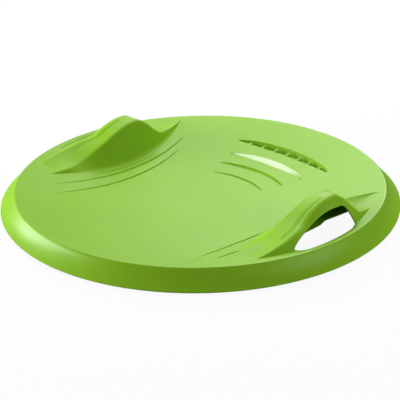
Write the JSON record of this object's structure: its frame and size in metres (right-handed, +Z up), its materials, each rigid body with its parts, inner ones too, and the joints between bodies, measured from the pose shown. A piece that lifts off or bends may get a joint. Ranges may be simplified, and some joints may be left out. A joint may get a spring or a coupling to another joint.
{
  "type": "saucer sled",
  "caption": "Round plastic saucer sled with a shallow dished deck, a turned-down rim, arched side grips over hand holes and a crescent foot rest at the front.",
  "frame": {"origin": "on the ground under the middle of the dish", "axes": "+Y to the front, where the foot rest is, +X to the rider's right, +Z up"},
  "size_m": [0.5899, 0.59, 0.0645],
  "materials": {
    "deck_plastic": "fine grained lime green polypropylene",
    "rim_plastic": "smooth satin lime green polypropylene",
    "smooth_plastic": "smooth satin lime green polypropylene"
  },
  "bodies": {
    "root": {"deck": "deck_plastic", "rim": "rim_plastic", "footrest_pocket": "smooth_plastic", "footrest_ribs": "deck_plastic", "second_crescent": "smooth_plastic", "third_crescent": "smooth_plastic", "left_inner_wall": "smooth_plastic", "left_grip_band": "deck_plastic", "left_outer_arch": "smooth_plastic", "right_inner_wall": "smooth_plastic", "right_grip_band": "deck_plastic", "right_outer_arch": "smooth_plastic"}
  },
  "joints": []
}
